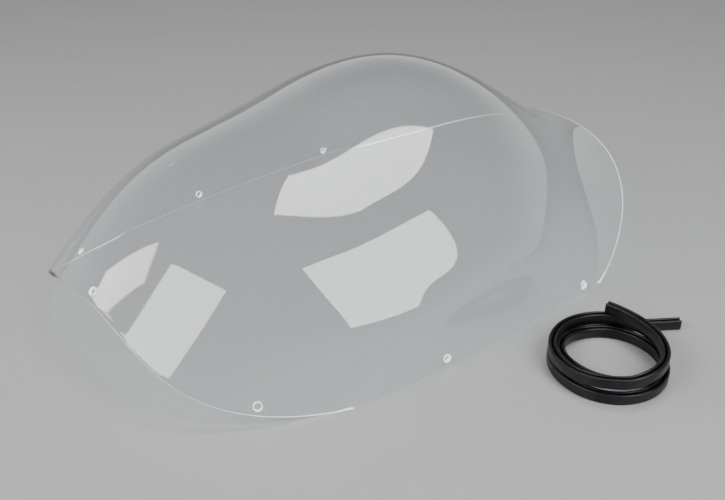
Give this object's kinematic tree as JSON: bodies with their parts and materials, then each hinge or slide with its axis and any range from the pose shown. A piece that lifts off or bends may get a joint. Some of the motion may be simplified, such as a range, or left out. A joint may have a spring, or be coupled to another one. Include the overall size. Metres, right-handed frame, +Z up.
{
  "type": "motorcycle windshield screen",
  "caption": "Clear double-bubble motorcycle windshield screen, drilled along its mounting edge, with a loose coil of black rubber edge trim beside it.",
  "frame": {"origin": "midway along and across the screen, on the surface that its side edges stand on", "axes": "+Y from the nose edge to the rear edge, +X towards the side where the coil of trim lies, +Z up"},
  "size_m": [0.4892, 0.54, 0.1697],
  "materials": {
    "clear_acrylic": "clear polished acrylic sheet with polished edges",
    "trim_rubber": "satin black extruded rubber"
  },
  "bodies": {
    "screen": {"screen": "clear_acrylic"},
    "trim": {"trim_coil": "trim_rubber", "trim_lead": "trim_rubber", "trim_tail": "trim_rubber"}
  },
  "joints": [
    {"name": "trim_lift", "type": "slide", "parent": "screen", "child": "trim", "axis": [0, 0, 1], "range_m": [0, 0.2]}
  ]
}
